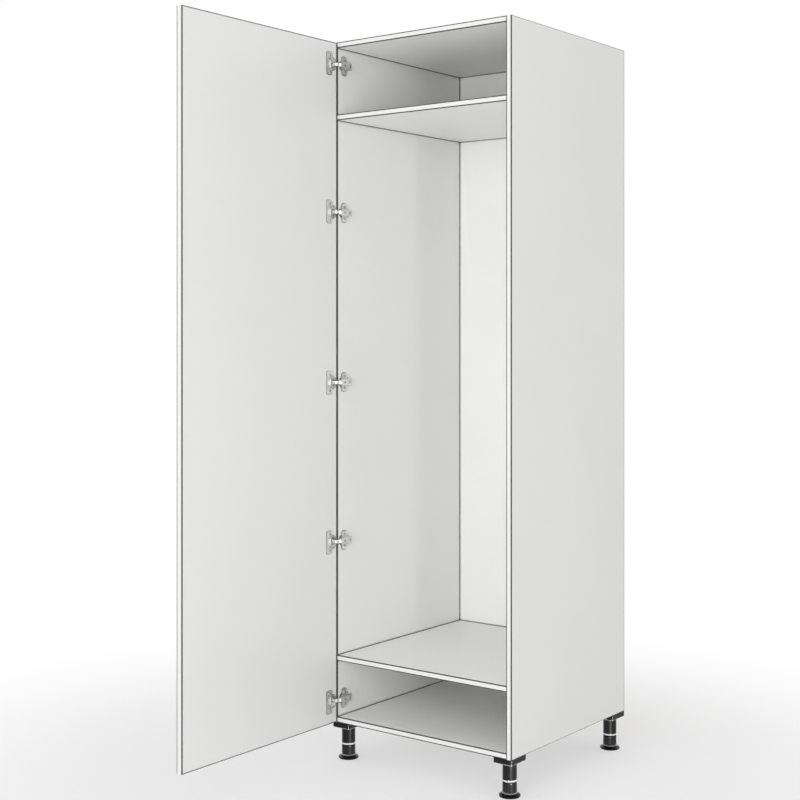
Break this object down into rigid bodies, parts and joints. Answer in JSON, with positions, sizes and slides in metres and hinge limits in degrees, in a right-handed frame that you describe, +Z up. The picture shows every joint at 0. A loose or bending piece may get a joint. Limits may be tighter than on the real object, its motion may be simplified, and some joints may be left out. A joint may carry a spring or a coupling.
{
  "type": "tall fridge housing cabinet",
  "caption": "Tall kitchen cabinet for a built-in fridge: open box with fixed shelves, a full-height slab door on concealed cup hinges and adjustable plinth feet.",
  "frame": {"origin": "on the floor, under the middle of the carcass front", "axes": "+Z up, +Y from the carcass front to its back, +X from the hinge side to the free side"},
  "size_m": [0.603, 1.2035, 2.025],
  "materials": {
    "white_melamine_board": "satin",
    "white_door_lacquer": "satin",
    "white_hardboard": "satin",
    "white_edge_band": "satin",
    "nickel_steel": "satin",
    "zinc_steel": "satin",
    "zinc_casting": "matte",
    "beech": "matte",
    "black_plastic": "satin"
  },
  "bodies": {
    "carcass": {"arm_fixing_screws": "zinc_steel", "back_panel": "white_hardboard", "back_panel_screws": "zinc_steel", "bottom_panel": "white_melamine_board", "bottom_panel_edge_band": "white_edge_band", "cam_bolts": "zinc_steel", "cam_housings": "zinc_casting", "foot_screws": "zinc_steel", "foot_socket_back_left": "black_plastic", "foot_socket_back_right": "black_plastic", "foot_socket_front_left": "black_plastic", "foot_socket_front_right": "black_plastic", "hinge_arm_1": "nickel_steel", "hinge_arm_2": "nickel_steel", "hinge_arm_3": "nickel_steel", "hinge_arm_4": "nickel_steel", "hinge_arm_5": "nickel_steel", "hinge_plate_1": "nickel_steel", "hinge_plate_2": "nickel_steel", "hinge_plate_3": "nickel_steel", "hinge_plate_4": "nickel_steel", "hinge_plate_5": "nickel_steel", "left_side_edge_band": "white_edge_band", "left_side_panel": "white_melamine_board", "lower_shelf": "white_melamine_board", "lower_shelf_edge_band": "white_edge_band", "plate_screws": "zinc_steel", "right_side_edge_band": "white_edge_band", "right_side_panel": "white_melamine_board", "side_adjusting_screws": "zinc_steel", "top_panel": "white_melamine_board", "top_panel_edge_band": "white_edge_band", "upper_shelf": "white_melamine_board", "upper_shelf_edge_band": "white_edge_band", "wood_dowels": "beech"},
    "door": {"cup_screws": "zinc_steel", "door_edge_bands": "white_edge_band", "door_panel": "white_door_lacquer", "hinge_cup_1": "nickel_steel", "hinge_cup_2": "nickel_steel", "hinge_cup_3": "nickel_steel", "hinge_cup_4": "nickel_steel", "hinge_cup_5": "nickel_steel", "hinge_pins": "zinc_steel"},
    "collar_front_left": {"foot_collar_front_left": "black_plastic"},
    "base_front_left": {"foot_base_front_left": "black_plastic"},
    "collar_front_right": {"foot_collar_front_right": "black_plastic"},
    "base_front_right": {"foot_base_front_right": "black_plastic"},
    "collar_back_left": {"foot_collar_back_left": "black_plastic"},
    "base_back_left": {"foot_base_back_left": "black_plastic"},
    "collar_back_right": {"foot_collar_back_right": "black_plastic"},
    "base_back_right": {"foot_base_back_right": "black_plastic"}
  },
  "joints": [
    {"name": "door_swing", "type": "hinge", "parent": "carcass", "child": "door", "pos_m": [-0.2914, -0.0106, 1.065], "axis": [0, 0, -1], "range_deg": [-90, 10]},
    {"name": "foot_turn_front_left", "type": "hinge", "parent": "carcass", "child": "collar_front_left", "pos_m": [-0.272, 0.035, 0.04], "axis": [0, 0, 1], "range_deg": [-181, 1801]},
    {"name": "foot_height_front_left", "type": "slide", "parent": "carcass", "child": "base_front_left", "axis": [0, 0, -1], "range_m": [-0.002, 0.02]},
    {"name": "foot_turn_front_right", "type": "hinge", "parent": "carcass", "child": "collar_front_right", "pos_m": [0.272, 0.035, 0.04], "axis": [0, 0, 1], "range_deg": [-181, 1801]},
    {"name": "foot_height_front_right", "type": "slide", "parent": "carcass", "child": "base_front_right", "axis": [0, 0, -1], "range_m": [-0.002, 0.02]},
    {"name": "foot_turn_back_left", "type": "hinge", "parent": "carcass", "child": "collar_back_left", "pos_m": [-0.272, 0.565, 0.04], "axis": [0, 0, 1], "range_deg": [-181, 1801]},
    {"name": "foot_height_back_left", "type": "slide", "parent": "carcass", "child": "base_back_left", "axis": [0, 0, -1], "range_m": [-0.002, 0.02]},
    {"name": "foot_turn_back_right", "type": "hinge", "parent": "carcass", "child": "collar_back_right", "pos_m": [0.272, 0.565, 0.04], "axis": [0, 0, 1], "range_deg": [-181, 1801]},
    {"name": "foot_height_back_right", "type": "slide", "parent": "carcass", "child": "base_back_right", "axis": [0, 0, -1], "range_m": [-0.002, 0.02]}
  ],
  "couplings": [
    {"joint": "foot_turn_front_left", "follows": "foot_height_front_left", "rad_per_m": 1570.8},
    {"joint": "foot_turn_front_right", "follows": "foot_height_front_right", "rad_per_m": 1570.8},
    {"joint": "foot_turn_back_left", "follows": "foot_height_back_left", "rad_per_m": 1570.8},
    {"joint": "foot_turn_back_right", "follows": "foot_height_back_right", "rad_per_m": 1570.8}
  ]
}
